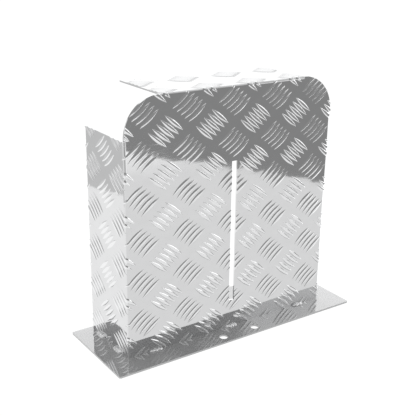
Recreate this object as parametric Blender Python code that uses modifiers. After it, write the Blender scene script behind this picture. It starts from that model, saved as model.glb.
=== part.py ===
"""Kick plate: a box-shaped guard of bright tread plate on a flat base plate, held by stitch welds.

The guard is one folded sheet: a front panel with a flange folded back along each side and
along the top, open behind and below, and a narrow upright slot in the middle of the panel.
The flanges stop short of the panel's two rounded top corners. The base plate is wider and
deeper than the guard and has two screw holes in the ledge in front of it.

Metres, +Z up, +X to the right seen from the front, +Y to the back. The origin is the centre
of the base plate's underside, the face that lies on the floor.
"""

import math

import bmesh
import bpy
from mathutils import Matrix, Vector

# The base plate.
BASE_WIDTH = 0.300
BASE_DEPTH = 0.106
BASE_THICKNESS = 0.002
BASE_CORNER_RADIUS = 0.002
BASE_EDGE_BREAK = 0.0003
HOLE_DIAMETER = 0.009
HOLE_SPACING = 0.041
HOLE_INSET = 0.010  # from the front edge to the holes' centres

# The guard, one folded sheet. Its heights are above its own lower edge.
GUARD_WIDTH = 0.252
GUARD_HEIGHT = 0.263
GUARD_DEPTH = 0.0775
SHEET_THICKNESS = 0.0015
FOLD_RADIUS = 0.0025  # outside the fold
CORNER_RADIUS = 0.039  # of the front panel's top corners
SIDE_FLANGE_HEIGHT = 0.222
FRONT_LEDGE = 0.026  # of base plate in front of the panel
RELIEF_STEP = 0.0001  # left behind the panel by the cuts that end the flanges

# The slot in the front panel.
SLOT_WIDTH = 0.0065
SLOT_BOTTOM = 0.031
SLOT_LENGTH = 0.155

# The stitch welds, short fillets in the corner between the guard and the base plate.
WELD_LENGTH = 0.016
WELD_LEG_ON_BASE = 0.0045
WELD_LEG_ON_GUARD = 0.0025
FRONT_WELD_SPACING = 0.0945
SIDE_WELD_FIRST = 0.0205  # behind the front panel
SIDE_WELD_SECOND = 0.0580

GAP = 0.0003  # kept between touching pieces
CUT_MARGIN = 0.010  # how far a cutter runs past what it cuts
ROUND_STEPS = 48  # sides of a full circle
FOLD_STEPS = 5
BASE_CORNER_STEPS = 6
BEAD_STEPS = 20

BASE_TOP = BASE_THICKNESS
GUARD_BOTTOM = BASE_TOP + GAP
GUARD_TOP = GUARD_BOTTOM + GUARD_HEIGHT
PANEL_FRONT = FRONT_LEDGE - BASE_DEPTH / 2
PANEL_BACK = PANEL_FRONT + SHEET_THICKNESS
FLANGE_BACK = PANEL_FRONT + GUARD_DEPTH
CORNER_X = GUARD_WIDTH / 2 - CORNER_RADIUS
CORNER_Z = GUARD_TOP - CORNER_RADIUS


def clear_scene():
    for obj in list(bpy.data.objects):
        bpy.data.objects.remove(obj, do_unlink=True)


def make_collection(name):
    collection = bpy.data.collections.new(name)
    bpy.context.scene.collection.children.link(collection)
    return collection


def make_material(name, colour, roughness):
    """A bare metal: all of the parts are aluminium, and differ in how bright they are."""
    material = bpy.data.materials.new(name)
    material.use_nodes = True
    shader = material.node_tree.nodes["Principled BSDF"]
    shader.inputs["Base Color"].default_value = (*colour, 1.0)
    shader.inputs["Metallic"].default_value = 1.0
    shader.inputs["Roughness"].default_value = roughness
    material.diffuse_color = (*colour, 1.0)
    return material


def add_object(name, bm, collection):
    mesh = bpy.data.meshes.new(name)
    bmesh.ops.recalc_face_normals(bm, faces=bm.faces)
    bm.to_mesh(mesh)
    bm.free()
    obj = bpy.data.objects.new(name, mesh)
    collection.objects.link(obj)
    return obj


def add_box(bm, low, high):
    """A box between two corners."""
    low, high = Vector(low), Vector(high)
    place = Matrix.Translation((low + high) / 2) @ Matrix.Diagonal((*(high - low), 1.0))
    return bmesh.ops.create_cube(bm, size=1.0, matrix=place)


def add_cylinder(bm, centre, radius, depth, turn):
    """A cylinder along the axis that turn brings +Z to."""
    bmesh.ops.create_cone(
        bm,
        cap_ends=True,
        segments=ROUND_STEPS,
        radius1=radius,
        radius2=radius,
        depth=depth,
        matrix=Matrix.Translation(centre) @ turn,
    )


def cut(obj, cutter):
    modifier = obj.modifiers.new(cutter.name, "BOOLEAN")
    modifier.operation = "DIFFERENCE"
    modifier.solver = "EXACT"
    modifier.object = cutter


def make_cutter(name, bm, cutters):
    cutter = add_object(name, bm, cutters)
    cutter.hide_render = True
    cutter.display_type = "WIRE"
    return cutter


def make_base_plate(parts, cutters, material):
    """A flat plate with slightly rounded corners, broken edges and two screw holes in its
    front ledge."""
    bm = bmesh.new()
    half_width, half_depth = BASE_WIDTH / 2, BASE_DEPTH / 2
    add_box(bm, (-half_width, -half_depth, 0.0), (half_width, half_depth, BASE_TOP))
    upright = [edge for edge in bm.edges if edge.verts[0].co.z != edge.verts[1].co.z]
    bmesh.ops.bevel(
        bm,
        geom=upright,
        offset=BASE_CORNER_RADIUS,
        segments=BASE_CORNER_STEPS,
        profile=0.5,
        affect="EDGES",
    )
    rims = [edge for edge in bm.edges if edge.verts[0].co.z == edge.verts[1].co.z]
    bmesh.ops.bevel(bm, geom=rims, offset=BASE_EDGE_BREAK, segments=1, affect="EDGES")
    plate = add_object("base_plate", bm, parts)
    plate.data.materials.append(material)
    for side, name in ((-1, "left"), (1, "right")):
        bm = bmesh.new()
        centre = (side * HOLE_SPACING / 2, HOLE_INSET - half_depth, BASE_TOP / 2)
        add_cylinder(bm, centre, HOLE_DIAMETER / 2, CUT_MARGIN * 2, Matrix())
        cut(plate, make_cutter("hole_cutter_" + name, bm, cutters))


def make_corner_cutter(side, cutters):
    """What lies outside the rounded top corner: a block with a cylinder taken out of it."""
    bm = bmesh.new()
    middle_y = (PANEL_FRONT + FLANGE_BACK) / 2
    depth = GUARD_DEPTH + 2 * CUT_MARGIN
    x_ends = sorted((side * CORNER_X, side * (GUARD_WIDTH / 2 + CUT_MARGIN)))
    add_box(
        bm,
        (x_ends[0], middle_y - depth / 2, CORNER_Z),
        (x_ends[1], middle_y + depth / 2, GUARD_TOP + CUT_MARGIN),
    )
    block = make_cutter("corner_cutter_" + ("left" if side < 0 else "right"), bm, cutters)
    bm = bmesh.new()
    centre = (side * CORNER_X, middle_y, CORNER_Z)
    turn = Matrix.Rotation(math.radians(90.0), 4, "X")
    add_cylinder(bm, centre, CORNER_RADIUS, depth + 2 * CUT_MARGIN, turn)
    core_name = "corner_core_" + ("left" if side < 0 else "right")
    cut(block, make_cutter(core_name, bm, cutters))
    return block


def make_relief_cutter(side, cutters):
    """The gap between a side flange's top and the top flange's end, behind the panel only."""
    bm = bmesh.new()
    x_ends = sorted((side * CORNER_X, side * (GUARD_WIDTH / 2 + CUT_MARGIN)))
    add_box(
        bm,
        (x_ends[0], PANEL_BACK + RELIEF_STEP, GUARD_BOTTOM + SIDE_FLANGE_HEIGHT),
        (x_ends[1], FLANGE_BACK + CUT_MARGIN, GUARD_TOP + CUT_MARGIN),
    )
    return make_cutter("relief_cutter_" + ("left" if side < 0 else "right"), bm, cutters)


def make_slot_cutter(cutters):
    bm = bmesh.new()
    low_z = GUARD_BOTTOM + SLOT_BOTTOM
    add_box(
        bm,
        (-SLOT_WIDTH / 2, PANEL_FRONT - CUT_MARGIN, low_z),
        (SLOT_WIDTH / 2, PANEL_BACK + CUT_MARGIN, low_z + SLOT_LENGTH),
    )
    return make_cutter("slot_cutter", bm, cutters)


def make_guard_sheet(parts, cutters, material):
    """The outside of a box without back or bottom, its front edges rounded as folds, thickened
    inwards to the sheet's thickness and then cut to the outline of the folded blank."""
    bm = bmesh.new()
    add_box(
        bm,
        (-GUARD_WIDTH / 2, PANEL_FRONT, GUARD_BOTTOM),
        (GUARD_WIDTH / 2, FLANGE_BACK, GUARD_TOP),
    )
    bm.normal_update()
    open_sides = [f for f in bm.faces if f.normal.y > 0.5 or f.normal.z < -0.5]
    bmesh.ops.delete(bm, geom=open_sides, context="FACES")
    front = [f for f in bm.faces if f.normal.y < -0.5][0]
    folds = [edge for edge in front.edges if len(edge.link_faces) == 2]
    bmesh.ops.bevel(
        bm,
        geom=folds,
        offset=FOLD_RADIUS,
        segments=FOLD_STEPS,
        profile=0.5,
        affect="EDGES",
    )
    sheet = add_object("guard_sheet", bm, parts)
    sheet.data.materials.append(material)
    thickness = sheet.modifiers.new("sheet_thickness", "SOLIDIFY")
    thickness.thickness = SHEET_THICKNESS
    thickness.offset = -1.0
    thickness.use_even_offset = True
    for side in (-1, 1):
        cut(sheet, make_relief_cutter(side, cutters))
        cut(sheet, make_corner_cutter(side, cutters))
    cut(sheet, make_slot_cutter(cutters))


def make_weld_mesh():
    """A quarter of a long rounded bead, its flats on the base plate and on the guard. It runs
    along X, with the guard behind it and the base plate under it."""
    bm = bmesh.new()
    turn = Matrix.Rotation(math.radians(90.0), 4, "Y")
    bmesh.ops.create_uvsphere(
        bm, u_segments=BEAD_STEPS, v_segments=BEAD_STEPS, radius=1.0, matrix=turn
    )
    straight = WELD_LENGTH / 2 - WELD_LEG_ON_BASE
    for vert in bm.verts:
        stretch = straight * max(-1.0, min(1.0, vert.co.x * BEAD_STEPS))
        vert.co.x = vert.co.x * WELD_LEG_ON_BASE + stretch
        vert.co.y *= WELD_LEG_ON_BASE
        vert.co.z *= WELD_LEG_ON_GUARD
    for normal in ((0.0, 1.0, 0.0), (0.0, 0.0, -1.0)):
        bmesh.ops.bisect_plane(
            bm,
            geom=[*bm.verts, *bm.edges, *bm.faces],
            dist=1e-6,
            plane_co=(0.0, 0.0, 0.0),
            plane_no=normal,
            clear_outer=True,
        )
        rim = [edge for edge in bm.edges if len(edge.link_faces) == 1]
        bmesh.ops.holes_fill(bm, edges=rim, sides=0)
    mesh = bpy.data.meshes.new("weld_bead")
    bmesh.ops.recalc_face_normals(bm, faces=bm.faces)
    bm.to_mesh(mesh)
    bm.free()
    mesh.shade_smooth()
    mesh.set_sharp_from_angle(angle=math.radians(40.0))
    return mesh


def make_welds(parts, material):
    """Three beads along the front panel and two along each side flange."""
    mesh = make_weld_mesh()
    mesh.materials.append(material)
    front_y = PANEL_FRONT - GAP
    side_x = GUARD_WIDTH / 2 + GAP
    side_ys = {
        "front": PANEL_FRONT + SIDE_WELD_FIRST,
        "rear": PANEL_FRONT + SIDE_WELD_SECOND,
    }
    places = [
        ("weld_front_left", -FRONT_WELD_SPACING, front_y, 0.0),
        ("weld_front_centre", 0.0, front_y, 0.0),
        ("weld_front_right", FRONT_WELD_SPACING, front_y, 0.0),
    ]
    for end, y in side_ys.items():
        places.append(("weld_left_" + end, -side_x, y, -90.0))
        places.append(("weld_right_" + end, side_x, y, 90.0))
    for name, x, y, heading in places:
        bead = bpy.data.objects.new(name, mesh)
        parts.objects.link(bead)
        bead.location = (x, y, BASE_TOP + GAP)
        bead.rotation_euler = (0.0, 0.0, math.radians(heading))


def main():
    clear_scene()
    parts = make_collection("kick_plate")
    cutters = make_collection("cutters")
    polished = make_material("polished_aluminium", (0.60, 0.60, 0.61), 0.05)
    tread = make_material("bright_tread_plate", (0.79, 0.79, 0.80), 0.08)
    filler = make_material("weld_metal", (0.80, 0.81, 0.82), 0.35)
    make_base_plate(parts, cutters, polished)
    make_guard_sheet(parts, cutters, tread)
    make_welds(parts, filler)


main()
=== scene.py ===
"""Looks of the kick plate: a guard folded from bright five-bar tread plate, stitch-welded to a
polished base plate, on a white floor in soft studio light.

The guard is modelled flat, as the blank is before folding: the rolled bars are joined to the
sheet, the blank's outline and slot are cut through both, and the result is folded by formula.
"""

import math

import bmesh
import bpy
import numpy as np
from mathutils import Matrix, Vector, noise


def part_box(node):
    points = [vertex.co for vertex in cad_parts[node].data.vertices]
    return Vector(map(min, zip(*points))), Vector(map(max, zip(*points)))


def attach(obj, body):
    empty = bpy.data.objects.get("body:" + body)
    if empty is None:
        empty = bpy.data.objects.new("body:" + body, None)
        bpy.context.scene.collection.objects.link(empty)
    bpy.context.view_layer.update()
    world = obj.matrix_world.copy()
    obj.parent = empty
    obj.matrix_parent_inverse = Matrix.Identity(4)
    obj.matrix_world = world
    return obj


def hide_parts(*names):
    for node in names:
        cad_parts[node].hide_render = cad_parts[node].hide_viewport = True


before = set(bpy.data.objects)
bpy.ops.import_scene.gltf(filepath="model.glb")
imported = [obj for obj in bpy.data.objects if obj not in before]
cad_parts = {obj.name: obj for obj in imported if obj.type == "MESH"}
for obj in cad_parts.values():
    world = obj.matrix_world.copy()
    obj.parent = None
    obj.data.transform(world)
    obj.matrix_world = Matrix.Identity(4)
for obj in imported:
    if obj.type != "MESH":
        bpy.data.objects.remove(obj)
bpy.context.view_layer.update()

MM = 0.001
OVERSHOOT = 1.0 * MM  # how far a cutting solid passes the faces that it cuts

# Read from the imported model.
GUARD_LOW, GUARD_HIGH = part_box("guard_sheet")
BASE_LOW, BASE_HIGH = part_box("base_plate")
GUARD_WIDTH = GUARD_HIGH[0] - GUARD_LOW[0]
GUARD_DEPTH = GUARD_HIGH[1] - GUARD_LOW[1]
GUARD_HEIGHT = GUARD_HIGH[2] - GUARD_LOW[2]
BASE_TOP = BASE_HIGH[2]
PANEL_FOOT = Vector((0.0, GUARD_LOW[1], BASE_TOP))

# The folded sheet, as part.py has it.
SHEET_THICKNESS = 1.5 * MM
FOLD_RADIUS = 2.5 * MM
CORNER_RADIUS = 39.0 * MM
SIDE_FLANGE_HEIGHT = 222.0 * MM
SLOT_WIDTH = 6.5 * MM
SLOT_BOTTOM = 31.0 * MM
SLOT_LENGTH = 155.0 * MM
RELIEF_WIDTH = 0.4 * MM  # the cut between a flange's end and the rounded corner
FOLD_ALLOWANCE = 1.8 * MM  # length of flat sheet that a fold takes up
FOLD_STEPS = 6
CORNER_STEPS = 32
SPARE_SHEET = 10.0 * MM  # how far the sheet reaches past the blank before it is cut out

# The screw holes in the base plate, as part.py has them.
HOLE_DIAMETER = 9.0 * MM
HOLE_SPACING = 41.0 * MM
HOLE_INSET = 10.0 * MM
HOLE_STEPS = 96
BASE_EDGE_ROUND = 0.3 * MM
BASE_CORNER_RADIUS = 2.0 * MM
BASE_CORNER_STEPS = 8

# The five-bar tread: groups of bars in two slants, like a basket weave.
PITCH_ACROSS = 53.1 * MM
PITCH_UP = 42.7 * MM
TREAD_START = (-107.8 * MM, 205.4 * MM)  # the middle of one group of rising bars
SLANT = math.atan2(PITCH_UP, PITCH_ACROSS)
BAR_LENGTH = 26.2 * MM
BAR_HALF_WIDTH = 2.35 * MM
BAR_HEIGHT = 0.8 * MM
BAR_SPACING = 5.8 * MM
BARS_IN_GROUP = 5
BAR_ROOT = 0.4 * MM  # how deep a bar's solid reaches into the sheet before they are joined
BAR_SINK = 0.008 * MM  # how far its rim lies under the sheet's face
BAR_STEPS_ALONG = 12
BAR_STEPS_SHOULDER = 4
BAR_CROWN = 0.46  # the flat share of the bar's width
BAR_REACH = 0.985  # how near to its pointed tips the bar's grid goes, as a share of a quarter turn

# The weld beads.
BEAD_STEPS_ALONG = 90
BEAD_STEPS_AROUND = 14
BEAD_SINK = 0.15 * MM  # how far a bead is fused into the sheets that it joins
BEAD_MERGE = 0.002 * MM  # points nearer than this at a bead's tips become one
BEAD_FULLNESS = 0.92  # the bead's size as a share of its plain stand-in's
BEAD_UNEVENNESS = 0.1
BEAD_SEED_STEP = 7.3  # between the places in the noise where two beads take their unevenness
RIPPLE_PITCH = 1.5 * MM
RIPPLE_HEIGHT = 0.16 * MM
RIPPLE_BOW = 1.0 * MM  # how far the middle of a ripple runs ahead of its ends


def new_object(name, mesh):
    obj = bpy.data.objects.new(name, mesh)
    bpy.context.scene.collection.objects.link(obj)
    return obj


def object_from_bmesh(name, bm):
    mesh = bpy.data.meshes.new(name)
    bm.to_mesh(mesh)
    bm.free()
    return new_object(name, mesh)


def solid_object(name, points, faces, merge=None):
    """A closed solid from points and faces; points nearer than merge become one."""
    mesh = bpy.data.meshes.new(name)
    mesh.from_pydata(points, [], faces)
    bm = bmesh.new()
    bm.from_mesh(mesh)
    if merge is not None:
        bmesh.ops.remove_doubles(bm, verts=bm.verts, dist=merge)
    bmesh.ops.recalc_face_normals(bm, faces=bm.faces)
    bm.to_mesh(mesh)
    bm.free()
    return new_object(name, mesh)


def discard(obj):
    mesh = obj.data
    bpy.data.objects.remove(obj, do_unlink=True)
    bpy.data.meshes.remove(mesh)


def combine(target, other, operation):
    modifier = target.modifiers.new(operation, "BOOLEAN")
    modifier.operation = operation
    modifier.solver = "MANIFOLD"
    modifier.object = other


def apply_modifiers(obj):
    graph = bpy.context.evaluated_depsgraph_get()
    mesh = bpy.data.meshes.new_from_object(obj.evaluated_get(graph))
    old = obj.data
    obj.modifiers.clear()
    obj.data = mesh
    bpy.data.meshes.remove(old)


def smooth_with_flat_faces(obj, sharp_degrees):
    """Smooth shading that keeps large faces flat, and edges sharp where they turn by more than
    an angle."""
    obj.data.shade_smooth()
    obj.data.set_sharp_from_angle(angle=math.radians(sharp_degrees))
    weighting = obj.modifiers.new("flat_faces", "WEIGHTED_NORMAL")
    weighting.keep_sharp = True


def prism(name, outline, low_h, high_h):
    """A closed solid over a flat outline."""
    bm = bmesh.new()
    lower = bm.faces.new([bm.verts.new((u, v, low_h)) for u, v in outline])
    raised = bmesh.ops.extrude_face_region(bm, geom=[lower])["geom"]
    for vert in raised:
        if isinstance(vert, bmesh.types.BMVert):
            vert.co.z = high_h
    bmesh.ops.recalc_face_normals(bm, faces=bm.faces)
    return object_from_bmesh(name, bm)


def box(name, low, high):
    (u0, v0, h0), (u1, v1, h1) = low, high
    return prism(name, [(u0, v0), (u1, v0), (u1, v1), (u0, v1)], h0, h1)


def arc(centre, radius, first, last, steps):
    """Points from one angle to another, in degrees, both included."""
    turns = [math.radians(first + (last - first) * step / steps) for step in range(steps + 1)]
    return [(centre[0] + radius * math.cos(a), centre[1] + radius * math.sin(a)) for a in turns]


# ---------------------------------------------------------------------------------------
# The guard, flat: u across, v up from the lower edge, h out of the sheet's outer face.
# ---------------------------------------------------------------------------------------

FLAT_HALF = GUARD_WIDTH / 2 - FOLD_RADIUS
FLAT_TOP = GUARD_HEIGHT - FOLD_RADIUS
FLANGE_REACH = FOLD_ALLOWANCE + GUARD_DEPTH - FOLD_RADIUS
FLANGE_EDGE = FLAT_HALF + FLANGE_REACH
CORNER_U = GUARD_WIDTH / 2 - CORNER_RADIUS
CORNER_V = GUARD_HEIGHT - CORNER_RADIUS
RELIEF_V = SIDE_FLANGE_HEIGHT + RELIEF_WIDTH
RELIEF_U = CORNER_U + RELIEF_WIDTH
LOWER_EDGE = BASE_TOP - GUARD_LOW[2]  # the sheet stands on the base plate


def blank_outline():
    """The flat blank's outline, anticlockwise from the lower right corner."""
    right = [
        (FLANGE_EDGE, LOWER_EDGE),
        (FLANGE_EDGE, SIDE_FLANGE_HEIGHT),
        (FLAT_HALF, SIDE_FLANGE_HEIGHT),
        (FLAT_HALF, RELIEF_V),
        (GUARD_WIDTH / 2, RELIEF_V),
    ]
    last = math.acos(RELIEF_WIDTH / CORNER_RADIUS)
    for step in range(CORNER_STEPS + 1):
        angle = last * step / CORNER_STEPS
        right.append(
            (CORNER_U + CORNER_RADIUS * math.cos(angle), CORNER_V + CORNER_RADIUS * math.sin(angle))
        )
    right += [
        (RELIEF_U, FLAT_TOP),
        (CORNER_U, FLAT_TOP),
        (CORNER_U, FLAT_TOP + FLANGE_REACH),
    ]
    return right + [(-u, v) for u, v in reversed(right)]


def bar_profile(share):
    """Height of a bar's cross-section, 1 on the crown and 0 at the rim, with soft shoulders
    and feet."""
    fall = np.clip((np.abs(share) - BAR_CROWN) / (1.0 - BAR_CROWN), 0.0, 1.0)
    return 0.5 + 0.5 * np.cos(math.pi * fall)


def bar_grid():
    """One bar as a grid of points (along, across, height), pointed at both ends."""
    along = np.sin(np.linspace(-1.0, 1.0, BAR_STEPS_ALONG + 1) * math.pi / 2 * BAR_REACH)
    shoulder = np.linspace(BAR_CROWN, 1.0, BAR_STEPS_SHOULDER + 1)
    across = np.concatenate([-shoulder[::-1], [0.0], shoulder])
    t, s = np.meshgrid(along, across, indexing="ij")
    half_width = BAR_HALF_WIDTH * (1.0 - t**2)
    height = BAR_HEIGHT * (1.0 - t**4) * bar_profile(s) - BAR_SINK
    return np.stack([t * BAR_LENGTH / 2, s * half_width, height], axis=-1)


def bar_centres():
    """(u, v, slant) of every bar that can reach the blank."""
    first_column = -math.ceil((FLANGE_EDGE + TREAD_START[0]) / PITCH_ACROSS) - 1
    last_column = math.ceil((FLANGE_EDGE - TREAD_START[0]) / PITCH_ACROSS) + 1
    first_row = -math.ceil(TREAD_START[1] / PITCH_UP) - 1
    last_row = math.ceil((FLAT_TOP + FLANGE_REACH - TREAD_START[1]) / PITCH_UP)
    for column in range(first_column, last_column + 1):
        for row in range(first_row, last_row + 1):
            for half, slant in ((0.0, SLANT), (0.5, -SLANT)):
                u = TREAD_START[0] + (column + half) * PITCH_ACROSS
                v = TREAD_START[1] + (row + half) * PITCH_UP
                for number in range(BARS_IN_GROUP):
                    shift = (number - (BARS_IN_GROUP - 1) / 2) * BAR_SPACING
                    bar_u = u + shift * math.cos(slant)
                    bar_v = v - shift * math.sin(slant)
                    if reaches_blank(bar_u, bar_v):
                        yield bar_u, bar_v, slant


def reaches_blank(u, v):
    margin = BAR_LENGTH / 2
    beside = abs(u) < FLANGE_EDGE + margin and v < SIDE_FLANGE_HEIGHT + margin
    above = abs(u) < GUARD_WIDTH / 2 + margin and v < FLAT_TOP + FLANGE_REACH + margin
    return v > -margin and (beside or above)


def closed_over(points, rows, columns, floor_points):
    """Faces of a grid whose rim goes down to floor_points: (all points, faces)."""
    index = np.arange(rows * columns).reshape(rows, columns)
    rim = np.concatenate([index[0, :], index[1:, -1], index[-1, -2::-1], index[-2:0:-1, 0]])
    lower = floor_points(points[rim])
    first_lower = len(points)
    faces = [
        (index[i, j], index[i + 1, j], index[i + 1, j + 1], index[i, j + 1])
        for i in range(rows - 1)
        for j in range(columns - 1)
    ]
    for k in range(len(rim)):
        after = (k + 1) % len(rim)
        faces.append((rim[k], rim[after], first_lower + after, first_lower + k))
    faces.append(tuple(first_lower + k for k in range(len(rim))))
    return np.concatenate([points, lower]), [tuple(map(int, face)) for face in faces]


def bars_object():
    """All the bars as closed solids in one mesh, their roots inside the sheet."""
    grid = bar_grid()

    def roots(rim):
        return np.column_stack([rim[:, :2], np.full(len(rim), -BAR_ROOT)])

    points, faces = closed_over(grid.reshape(-1, 3), *grid.shape[:2], roots)
    all_points, all_faces = [], []
    for u, v, slant in bar_centres():
        cos, sin = math.cos(slant), math.sin(slant)
        start = len(all_points) * len(points)
        all_points.append(
            np.column_stack(
                [
                    u + points[:, 0] * cos - points[:, 1] * sin,
                    v + points[:, 0] * sin + points[:, 1] * cos,
                    points[:, 2],
                ]
            )
        )
        all_faces += [tuple(i + start for i in face) for face in faces]
    return solid_object("bars", np.concatenate(all_points).tolist(), all_faces)


def fold_lines(bm):
    """Edges across the sheet wherever it will bend."""
    for step in range(FOLD_STEPS + 1):
        reach = FOLD_ALLOWANCE * step / FOLD_STEPS
        for place, normal in (
            ((FLAT_HALF + reach, 0.0, 0.0), (1.0, 0.0, 0.0)),
            ((-FLAT_HALF - reach, 0.0, 0.0), (1.0, 0.0, 0.0)),
            ((0.0, FLAT_TOP + reach, 0.0), (0.0, 1.0, 0.0)),
        ):
            bmesh.ops.bisect_plane(
                bm,
                geom=[*bm.verts, *bm.edges, *bm.faces],
                dist=1e-7,
                plane_co=place,
                plane_no=normal,
            )


def folded(points):
    """World places of flat points: straight in the panel, round the folds and back along the
    flanges. The rounded corners are parted from the flanges by the reliefs and stay flat."""
    u, v, h = points.T
    x, y, z = u.copy(), -h, v.copy()
    middle_u, middle_v = CORNER_U + RELIEF_WIDTH / 2, SIDE_FLANGE_HEIGHT + RELIEF_WIDTH / 2
    side = (np.abs(u) > FLAT_HALF) & (v < middle_v)
    top = (v > FLAT_TOP) & (np.abs(u) < middle_u)
    for bent, past in ((side, np.abs(u) - FLAT_HALF), (top, v - FLAT_TOP)):
        angle = np.clip(past / FOLD_ALLOWANCE, 0.0, 1.0) * math.pi / 2
        out = (FOLD_RADIUS + h) * np.sin(angle)
        back = FOLD_RADIUS - (FOLD_RADIUS + h) * np.cos(angle)
        back = back + np.maximum(past - FOLD_ALLOWANCE, 0.0)
        if bent is side:
            x = np.where(bent, np.sign(u) * (FLAT_HALF + out), x)
        else:
            z = np.where(bent, FLAT_TOP + out, z)
        y = np.where(bent, back, y)
    return np.stack([x, y + GUARD_LOW[1], z + GUARD_LOW[2]], axis=1)


def make_guard():
    """The guard: sheet and bars joined flat, cut to the blank with its slot, and folded."""
    reach = FLANGE_EDGE + SPARE_SHEET
    top = FLAT_TOP + FLANGE_REACH + SPARE_SHEET
    guard = box("tread_guard", (-reach, -SPARE_SHEET, -SHEET_THICKNESS), (reach, top, 0.0))
    bars = bars_object()
    cut_from, cut_to = -SHEET_THICKNESS - OVERSHOOT, BAR_HEIGHT + OVERSHOOT
    outline = prism("outline", blank_outline(), cut_from, cut_to)
    slot = box(
        "slot",
        (-SLOT_WIDTH / 2, SLOT_BOTTOM, cut_from),
        (SLOT_WIDTH / 2, SLOT_BOTTOM + SLOT_LENGTH, cut_to),
    )
    combine(guard, bars, "UNION")
    combine(guard, outline, "INTERSECT")
    combine(guard, slot, "DIFFERENCE")
    apply_modifiers(guard)
    for helper in (bars, outline, slot):
        discard(helper)
    bm = bmesh.new()
    bm.from_mesh(guard.data)
    fold_lines(bm)
    bm.to_mesh(guard.data)
    bm.free()
    points = np.empty(len(guard.data.vertices) * 3)
    guard.data.vertices.foreach_get("co", points)
    flat_place = guard.data.attributes.new("flat_place", "FLOAT_VECTOR", "POINT")
    flat_place.data.foreach_set("vector", points)
    guard.data.vertices.foreach_set("co", folded(points.reshape(-1, 3)).ravel())
    guard.data.update()
    smooth_with_flat_faces(guard, sharp_degrees=35.0)
    return guard


# ---------------------------------------------------------------------------------------
# The base plate and the welds
# ---------------------------------------------------------------------------------------


def make_plate():
    """The polished plate, its edges and the holes' rims slightly rounded."""
    corner_x, corner_y = BASE_HIGH[0] - BASE_CORNER_RADIUS, BASE_HIGH[1] - BASE_CORNER_RADIUS
    outline = []
    for number, (x, y) in enumerate(((1, 1), (-1, 1), (-1, -1), (1, -1))):
        first = 90 * number
        centre = (x * corner_x, y * corner_y)
        outline += arc(centre, BASE_CORNER_RADIUS, first, first + 90, BASE_CORNER_STEPS)
    plate = prism("polished_plate", outline, BASE_LOW[2], BASE_TOP)
    holes = []
    for side in (-1, 1):
        centre = (side * HOLE_SPACING / 2, BASE_LOW[1] + HOLE_INSET)
        rim = arc(centre, HOLE_DIAMETER / 2, 0, 360, HOLE_STEPS)[:-1]
        holes.append(prism("hole", rim, BASE_LOW[2] - OVERSHOOT, BASE_TOP + OVERSHOOT))
        combine(plate, holes[-1], "DIFFERENCE")
    rounding = plate.modifiers.new("rounding", "BEVEL")
    rounding.width = BASE_EDGE_ROUND
    rounding.segments = 3
    rounding.limit_method = "ANGLE"
    rounding.angle_limit = math.radians(40.0)
    apply_modifiers(plate)
    for hole in holes:
        discard(hole)
    smooth_with_flat_faces(plate, sharp_degrees=60.0)
    return plate


def bead_grid(length, leg_out, leg_up, seed):
    """The face of a fillet bead as a grid of points (along, out from the wall, up), with
    crescent ripples and the slight unevenness of hand welding. The bead is plump almost to its
    ends, and its ripples have broad crests and narrow troughs."""
    along = np.sin(np.linspace(-1.0, 1.0, BEAD_STEPS_ALONG + 1) * math.pi / 2)
    around = np.linspace(0.0, 1.0, BEAD_STEPS_AROUND + 1)
    t, a = np.meshgrid(along, around, indexing="ij")
    plump = (1.0 - np.abs(t) ** 3.5) ** 0.5
    lead = RIPPLE_BOW * (1.0 - (2.0 * a - 1.0) ** 2)
    ripple = np.abs(np.sin(math.pi * (t * length / 2 + lead) / RIPPLE_PITCH)) ** 0.7
    uneven = np.array(
        [noise.noise(Vector((x * 5.0, y * 2.0, seed))) for x, y in zip(t.ravel(), a.ravel())]
    ).reshape(t.shape)
    grow = plump * (BEAD_FULLNESS + BEAD_UNEVENNESS * uneven)
    lift = RIPPLE_HEIGHT * plump * (ripple - 1.0) * np.sin(math.pi * a) ** 0.5
    angle = a * math.pi / 2
    out = (leg_out * grow + lift) * np.cos(angle)
    up = (leg_up * grow + lift) * np.sin(angle)
    return np.stack([t * length / 2, out, up], axis=-1)


def make_weld(name, node_name, seed):
    """A rippled bead where its plain stand-in lies, fused into the sheet and the plate."""
    low, high = (Vector(corner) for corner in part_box(node_name))
    middle = (low + high) / 2
    size = high - low
    if size.x > size.y:
        along, wall = Vector((1.0, 0.0, 0.0)), Vector((0.0, 1.0, 0.0))
        foot = Vector((middle.x, GUARD_LOW[1], BASE_TOP))
        length, leg_out = size.x, size.y
    else:
        side = math.copysign(1.0, middle.x)
        along, wall = Vector((0.0, -side, 0.0)), Vector((-side, 0.0, 0.0))
        foot = Vector((side * GUARD_WIDTH / 2, middle.y, BASE_TOP))
        length, leg_out = size.y, size.x
    grid = bead_grid(length, leg_out, size.z, seed)

    def fused(rim):
        inner = np.minimum(rim[:, 1:], 0.0) - BEAD_SINK
        return np.column_stack([rim[:, 0], inner])

    points, faces = closed_over(grid.reshape(-1, 3), *grid.shape[:2], fused)
    turned = [foot + along * p[0] - wall * p[1] + Vector((0.0, 0.0, p[2])) for p in points]
    bead = solid_object(name, turned, faces, BEAD_MERGE)
    bead.data.shade_smooth()
    bead.data.set_sharp_from_angle(angle=math.radians(50.0))
    return bead


# ---------------------------------------------------------------------------------------
# Materials
# ---------------------------------------------------------------------------------------

# How deep the bumps of each surface are.
TREAD_WAVE_DEPTH = 0.14 * MM
PLATE_WAVE_DEPTH = 0.06 * MM
ROLLING_DEPTH = 0.001 * MM
FROSTED_DEPTH = 0.03 * MM

# The heights between which a tread bar turns from the flats' shade to the burnished one.
BURNISHED_FROM = 0.02 * MM
BURNISHED_TO = 0.25 * MM


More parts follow.
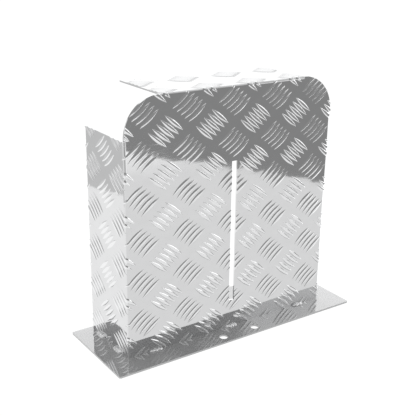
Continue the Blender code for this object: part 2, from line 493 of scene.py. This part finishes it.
def add_node(tree, kind, inputs=None, **settings):
    """A node with its settings, each input a plain value or another node's output."""
    made = tree.nodes.new(kind)
    for name, value in settings.items():
        setattr(made, name, value)
    for name, value in (inputs or {}).items():
        if isinstance(value, bpy.types.NodeSocket):
            tree.links.new(value, made.inputs[name])
        else:
            made.inputs[name].default_value = value
    return made


def soft_step(tree, value, start, end, low, high):
    """low before start, high past end, and a smooth change between them."""
    inputs = {"Value": value, "From Min": start, "From Max": end, "To Min": low, "To Max": high}
    step = add_node(tree, "ShaderNodeMapRange", inputs, interpolation_type="SMOOTHSTEP")
    return step.outputs["Result"]


def along_direction(tree, vector, direction):
    dot = add_node(tree, "ShaderNodeVectorMath", {0: vector, 1: direction}, operation="DOT_PRODUCT")
    return dot.outputs["Value"]


def noise_value(tree, place, stretch, detail):
    """Noise from 0 to 1 whose grains are 1 / stretch metres long along each axis."""
    scaled = add_node(tree, "ShaderNodeVectorMath", {0: place, 1: stretch}, operation="MULTIPLY")
    grain = {"Vector": scaled.outputs["Vector"], "Scale": 1.0, "Detail": detail}
    return add_node(tree, "ShaderNodeTexNoise", grain).outputs["Fac"]


def bump(tree, height, depth, normal=None):
    inputs = {"Height": height, "Distance": depth, "Strength": 1.0}
    if normal is not None:
        inputs["Normal"] = normal
    return add_node(tree, "ShaderNodeBump", inputs).outputs["Normal"]


def new_metal(name, metallic):
    material = bpy.data.materials.new(name)
    material.use_nodes = True
    shader = material.node_tree.nodes["Principled BSDF"]
    shader.inputs["Metallic"].default_value = metallic
    return material, material.node_tree, shader


def grey(shade):
    """A neutral metal colour, a very little bluer than grey."""
    return (shade, shade * 1.004, shade * 1.010, 1.0)


def blend_colours(tree, factor, first, second):
    """A mix of two colours, each a colour or another node's output."""
    mix = tree.nodes.new("ShaderNodeMix")
    mix.data_type = "RGBA"
    tree.links.new(factor, mix.inputs["Factor"])
    colour_inputs = [socket for socket in mix.inputs if socket.type == "RGBA"]
    for socket, colour in zip(colour_inputs, (first, second)):
        if isinstance(colour, bpy.types.NodeSocket):
            tree.links.new(colour, socket)
        else:
            socket.default_value = colour
    return next(socket for socket in mix.outputs if socket.type == "RGBA")


def tread_material():
    """Bright-rolled sheet: nearly a mirror, slightly wavy, with fine rolling lines. The raised
    bars are burnished brighter than the flats."""
    material, tree, shader = new_metal("bright_tread_plate", 1.0)
    place = add_node(tree, "ShaderNodeAttribute", attribute_name="flat_place").outputs["Vector"]
    waves = noise_value(tree, place, (34.0, 40.0, 34.0), 1.0)
    mottling = noise_value(tree, place, (90.0, 130.0, 90.0), 3.0)
    rolling = noise_value(tree, place, (30.0, 1500.0, 300.0), 2.0)
    normal = bump(tree, waves, TREAD_WAVE_DEPTH)
    normal = bump(tree, rolling, ROLLING_DEPTH, normal)
    tree.links.new(normal, shader.inputs["Normal"])
    height = add_node(tree, "ShaderNodeSeparateXYZ", {"Vector": place}).outputs["Z"]
    flats = blend_colours(tree, mottling, grey(0.76), grey(0.82))
    burnished = soft_step(tree, height, BURNISHED_FROM, BURNISHED_TO, 0.0, 1.0)
    colour = blend_colours(tree, burnished, flats, grey(0.92))
    roughness = soft_step(tree, rolling, 0.3, 0.7, 0.035, 0.07)
    tree.links.new(colour, shader.inputs["Base Color"])
    tree.links.new(roughness, shader.inputs["Roughness"])
    return material


def plate_material():
    """Polished sheet under a faint haze, with rolling lines along its length."""
    material, tree, shader = new_metal("polished_sheet", 0.5)
    place = add_node(tree, "ShaderNodeTexCoord").outputs["Object"]
    waves = noise_value(tree, place, (15.0, 25.0, 15.0), 1.0)
    rolling = noise_value(tree, place, (25.0, 1200.0, 300.0), 2.0)
    normal = bump(tree, waves, PLATE_WAVE_DEPTH)
    normal = bump(tree, rolling, ROLLING_DEPTH, normal)
    colour = blend_colours(tree, rolling, grey(0.58), grey(0.62))
    roughness = soft_step(tree, waves, 0.3, 0.7, 0.015, 0.04)
    tree.links.new(normal, shader.inputs["Normal"])
    tree.links.new(colour, shader.inputs["Base Color"])
    tree.links.new(roughness, shader.inputs["Roughness"])
    return material


def weld_material():
    """Bare weld metal: bright, with a fine frosted grain."""
    material, tree, shader = new_metal("weld_bead", 1.0)
    place = add_node(tree, "ShaderNodeTexCoord").outputs["Object"]
    grain = noise_value(tree, place, (2500.0, 2500.0, 2500.0), 3.0)
    patches = noise_value(tree, place, (500.0, 500.0, 500.0), 2.0)
    colour = blend_colours(tree, patches, grey(0.70), grey(0.92))
    roughness = soft_step(tree, patches, 0.3, 0.7, 0.22, 0.45)
    tree.links.new(bump(tree, grain, FROSTED_DEPTH), shader.inputs["Normal"])
    tree.links.new(colour, shader.inputs["Base Color"])
    tree.links.new(roughness, shader.inputs["Roughness"])
    return material


# ---------------------------------------------------------------------------------------
# Floor, light and camera
# ---------------------------------------------------------------------------------------

CAMERA_PLACE = Vector((-1.7944, -2.4030, 1.6073))  # from the panel's foot, in guard widths
CAMERA_HEADING = 34.76  # degrees to the right of +Y
CAMERA_DOWN = 19.65  # degrees
CAMERA_ROLL = 0.84  # degrees
CAMERA_LENS = 67.48  # millimetres
CAMERA_SENSOR = 36.0  # millimetres

WHITE = (1.0, 1.0, 1.0, 1.0)

# The studio as the metal reflects it, each part with the strength of its light.
ROOM_LIGHT = 0.32
FRONT_LIGHT = 0.25
RIGHT_FLOOR_LIGHT = 0.27
LEFT_FLOOR_LIGHT = 0.62
BACKDROP_LIGHT = 1.2
PATCH_LIGHT = 1.5  # the brightest part of the backdrop
RIGHT_LIGHT = 0.60
LEFT_LIGHT = 0.85
CEILING_LIGHT = 0.90

# The studio as the camera sees it.
SEEN_FLOOR_LIGHT = 1.05
SEEN_BACKDROP_LIGHT = 1.1

# The floor and the white paper on it, in metres and compass degrees (see compass).
FLOOR_REACH = 3.0
FLOOR_DROP = 0.2 * MM  # how far the floor lies under the object's foot
PAPER_DROP = 0.3 * MM
PAPER_EDGE = 0.55  # from the panel's foot to either edge of the paper
PAPER_EDGE_SIDE = -28.9  # the direction in which its right edge lies

# The two upright cards: the side on which each stands, how many metres from the panel's foot,
# and its corners as (metres along the floor, height).
WINDOW_SIDE = -10.0
WINDOW_DISTANCE = 0.62
WINDOW_CORNERS = [(-0.541, 0.18), (0.50, 0.13), (0.50, 0.50), (-0.541, 0.50)]
LEFT_SIDE = 180.0
LEFT_DISTANCE = 0.65
LEFT_CORNERS = [(-0.75, 0.0), (0.02, 0.0), (0.02, 0.34), (-0.75, 0.20)]


def make_camera():
    data = bpy.data.cameras.new("camera")
    data.lens = CAMERA_LENS
    data.sensor_width = CAMERA_SENSOR
    camera = new_object("camera", data)
    camera.location = PANEL_FOOT + CAMERA_PLACE * GUARD_WIDTH
    turn = Matrix.Rotation(math.radians(-CAMERA_HEADING), 4, "Z")
    tilt = Matrix.Rotation(math.radians(90.0 - CAMERA_DOWN), 4, "X")
    roll = Matrix.Rotation(math.radians(CAMERA_ROLL), 4, "Z")
    camera.rotation_euler = (turn @ tilt @ roll).to_euler()
    bpy.context.scene.camera = camera


def compass(degrees, up=0.0):
    """A unit direction: 0 is +X, to the right, and 90 is +Y, to the back, up degrees above
    the floor."""
    angle, rise = math.radians(degrees), math.radians(up)
    return (math.cos(angle) * math.cos(rise), math.sin(angle) * math.cos(rise), math.sin(rise))


def maths(tree, operation, first, second):
    made = add_node(tree, "ShaderNodeMath", {0: first, 1: second}, operation=operation)
    return made.outputs["Value"]


def blend_values(tree, factor, first, second):
    inputs = {"Value": factor, "To Min": first, "To Max": second}
    return add_node(tree, "ShaderNodeMapRange", inputs).outputs["Result"]


def band(tree, value, start, end, softness):
    """1 between start and end and 0 outside, with soft borders."""
    rise = soft_step(tree, value, start - softness, start + softness, 0.0, 1.0)
    fall = soft_step(tree, value, end - softness, end + softness, 1.0, 0.0)
    return maths(tree, "MULTIPLY", rise, fall)


def room_light(tree):
    """The light from every direction: a darker room, with a pale backdrop to the right behind
    the object, pale regions to its left and upper right, and a pale ceiling over it."""
    towards = add_node(tree, "ShaderNodeTexCoord").outputs["Generated"]
    axes = add_node(tree, "ShaderNodeSeparateXYZ", {"Vector": towards}).outputs
    height = axes["Z"]
    bearing = maths(tree, "ARCTAN2", axes["Y"], axes["X"])

    front = along_direction(tree, towards, compass(-90.0))
    strength = soft_step(tree, front, 0.35, 0.65, ROOM_LIGHT, FRONT_LIGHT)
    regions = [
        # (from, to and softness in compass degrees; from, to and softness in height; light)
        (-50.0, 0.0, 8.0, 0.40, 0.85, 0.08, RIGHT_LIGHT),
        (4.0, 92.0, 4.0, -1.0, 0.65, 0.05, BACKDROP_LIGHT),
        (28.0, 68.0, 5.0, 0.36, 0.58, 0.05, PATCH_LIGHT),
        (92.0, 165.0, 4.0, -1.0, 0.28, 0.05, LEFT_LIGHT),
    ]
    for first, last, soft, low, high, soft_height, light in regions:
        beside = band(tree, bearing, *map(math.radians, (first, last, soft)))
        inside = maths(tree, "MULTIPLY", beside, band(tree, height, low, high, soft_height))
        strength = blend_values(tree, inside, strength, light)
    upper_left = along_direction(tree, towards, compass(170.0, 55.0))
    inside = soft_step(tree, upper_left, 0.88, 0.94, 0.0, 1.0)
    strength = blend_values(tree, inside, strength, LEFT_LIGHT)

    left = along_direction(tree, towards, compass(PAPER_EDGE_SIDE + 180.0))
    below = soft_step(tree, left, -0.3, 0.3, RIGHT_FLOOR_LIGHT, LEFT_FLOOR_LIGHT)
    above = soft_step(tree, height, -0.03, 0.02, 0.0, 1.0)
    strength = blend_values(tree, above, below, strength)

    up_and_back = along_direction(tree, towards, (0.0, 0.35, 0.94))
    ceiling = soft_step(tree, up_and_back, 0.68, 0.76, 0.0, 1.0)
    ceiling = maths(tree, "MULTIPLY", ceiling, soft_step(tree, height, 0.60, 0.70, 0.0, 1.0))
    return blend_values(tree, ceiling, strength, CEILING_LIGHT)


def make_world():
    """The metal reflects the room, and the camera sees plain white."""
    world = bpy.data.worlds.new("studio")
    bpy.context.scene.world = world
    world.use_nodes = True
    tree = world.node_tree
    tree.nodes.clear()
    shaders = {"Fac": add_node(tree, "ShaderNodeLightPath").outputs["Is Camera Ray"]}
    for number, strength in ((1, room_light(tree)), (2, SEEN_BACKDROP_LIGHT)):
        inputs = {"Color": WHITE, "Strength": strength}
        shaders[number] = add_node(tree, "ShaderNodeBackground", inputs).outputs["Background"]
    mix = add_node(tree, "ShaderNodeMixShader", shaders)
    add_node(tree, "ShaderNodeOutputWorld", {"Surface": mix.outputs["Shader"]})


def glowing(name, strength=None):
    """A white emission; strength may be set by nodes that the caller adds."""
    material = bpy.data.materials.new(name)
    material.use_nodes = True
    tree = material.node_tree
    tree.nodes.clear()
    shader = add_node(tree, "ShaderNodeEmission", {"Color": WHITE})
    if strength is not None:
        shader.inputs["Strength"].default_value = strength
    add_node(tree, "ShaderNodeOutputMaterial", {"Surface": shader.outputs["Emission"]})
    return material, tree, shader


def card(name, points, material):
    bm = bmesh.new()
    bm.faces.new([bm.verts.new(point) for point in points])
    bmesh.ops.recalc_face_normals(bm, faces=bm.faces)
    obj = object_from_bmesh(name, bm)
    obj.data.materials.append(material)
    return obj


def from_foot(tree):
    """Where a point of the stage lies, from the panel's foot."""
    place = add_node(tree, "ShaderNodeNewGeometry").outputs["Position"]
    shift = {0: place, 1: PANEL_FOOT}
    return add_node(tree, "ShaderNodeVectorMath", shift, operation="SUBTRACT").outputs["Vector"]


def painted_paper_material():
    """The white paper as the metal reflects it, its places in metres from the panel's foot: a
    glowing card with light and shade painted into its glow, a painted shadow, a little grey, close
    in front of the object, painted light, brighter, behind it, beside it to the right and far in
    front, and painted shade, dark, near the camera."""
    material, tree, shader = glowing("paper_painted_light")
    place = from_foot(tree)
    to_right = along_direction(tree, place, compass(0.0))
    to_window = along_direction(tree, place, compass(45.0))
    to_back = along_direction(tree, place, compass(117.0))
    to_front = along_direction(tree, place, compass(-90.0))
    to_camera = along_direction(tree, place, compass(-120.0))
    # Painted light beside the object to the right and far in front, a painted shadow close in front
    # of it, and painted shade near the camera.
    beside = soft_step(tree, to_right, 0.0, 0.1, 0.0, 0.7)
    beside = maths(tree, "MULTIPLY", beside, soft_step(tree, to_window, 0.09, 0.13, 0.0, 1.0))
    beside = maths(tree, "MULTIPLY", beside, soft_step(tree, to_back, 0.0, 0.1, 1.0, 0.0))
    strength = maths(tree, "ADD", beside, soft_step(tree, to_back, 0.0, 0.1, 0.83, 0.97))
    strength = maths(tree, "ADD", strength, soft_step(tree, to_front, 0.50, 0.75, 0.0, 0.4))
    strength = maths(tree, "SUBTRACT", strength, soft_step(tree, to_camera, 0.62, 0.75, 0.0, 0.6))
    tree.links.new(strength, shader.inputs["Strength"])
    return material


def window_material():
    """The window card: bright, and dimmer at its front end."""
    material, tree, shader = glowing("window_white")
    along = along_direction(tree, from_foot(tree), compass(WINDOW_SIDE + 90.0))
    tree.links.new(soft_step(tree, along, -0.34, -0.24, 0.9, 1.5), shader.inputs["Strength"])
    return material


def upright_card(name, side, distance, corners, material):
    """A card that faces the object from one side, seen only as a reflection."""
    foot = Vector((PANEL_FOOT.x, PANEL_FOOT.y, 0.0)) + Vector(compass(side)) * distance
    along = Vector(compass(side + 90.0))
    made = card(name, [foot + along * a + Vector((0.0, 0.0, h)) for a, h in corners], material)
    made.visible_camera = False
    return made


def make_stage():
    """The floor, which only the camera sees, and the paper and cards, which only the metal
    sees."""
    signs = [(-1, -1), (1, -1), (1, 1), (-1, 1)]
    corners = [(x * FLOOR_REACH, y * FLOOR_REACH, -FLOOR_DROP) for x, y in signs]
    floor = card("floor", corners, glowing("floor_white", SEEN_FLOOR_LIGHT)[0])
    floor.visible_glossy = False
    floor.visible_diffuse = False
    middle = Vector((0.0, GUARD_LOW[1], -PAPER_DROP))
    out = Vector(compass(PAPER_EDGE_SIDE)) * PAPER_EDGE
    along = Vector(compass(PAPER_EDGE_SIDE + 90.0)) * FLOOR_REACH
    corners = [middle + out * across + along * ahead for across, ahead in signs]
    paper = card("paper", corners, painted_paper_material())
    paper.visible_camera = False
    upright_card("window", WINDOW_SIDE, WINDOW_DISTANCE, WINDOW_CORNERS, window_material())
    left_white = glowing("left_white", LEFT_LIGHT)[0]
    upright_card("left_light", LEFT_SIDE, LEFT_DISTANCE, LEFT_CORNERS, left_white)


def stand_in_for(piece, node_name, material):
    piece.data.materials.clear()
    piece.data.materials.append(material)
    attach(piece, "root")
    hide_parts(node_name)


def main():
    bpy.context.scene.view_settings.view_transform = "Standard"
    stand_in_for(make_guard(), "guard_sheet", tread_material())
    stand_in_for(make_plate(), "base_plate", plate_material())
    bead_metal = weld_material()
    welds = sorted(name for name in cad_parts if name.startswith("weld_"))
    for number, name in enumerate(welds):
        bead = make_weld(name.replace("weld_", "bead_"), name, number * BEAD_SEED_STEP)
        stand_in_for(bead, name, bead_metal)
    make_world()
    make_stage()
    make_camera()


main()
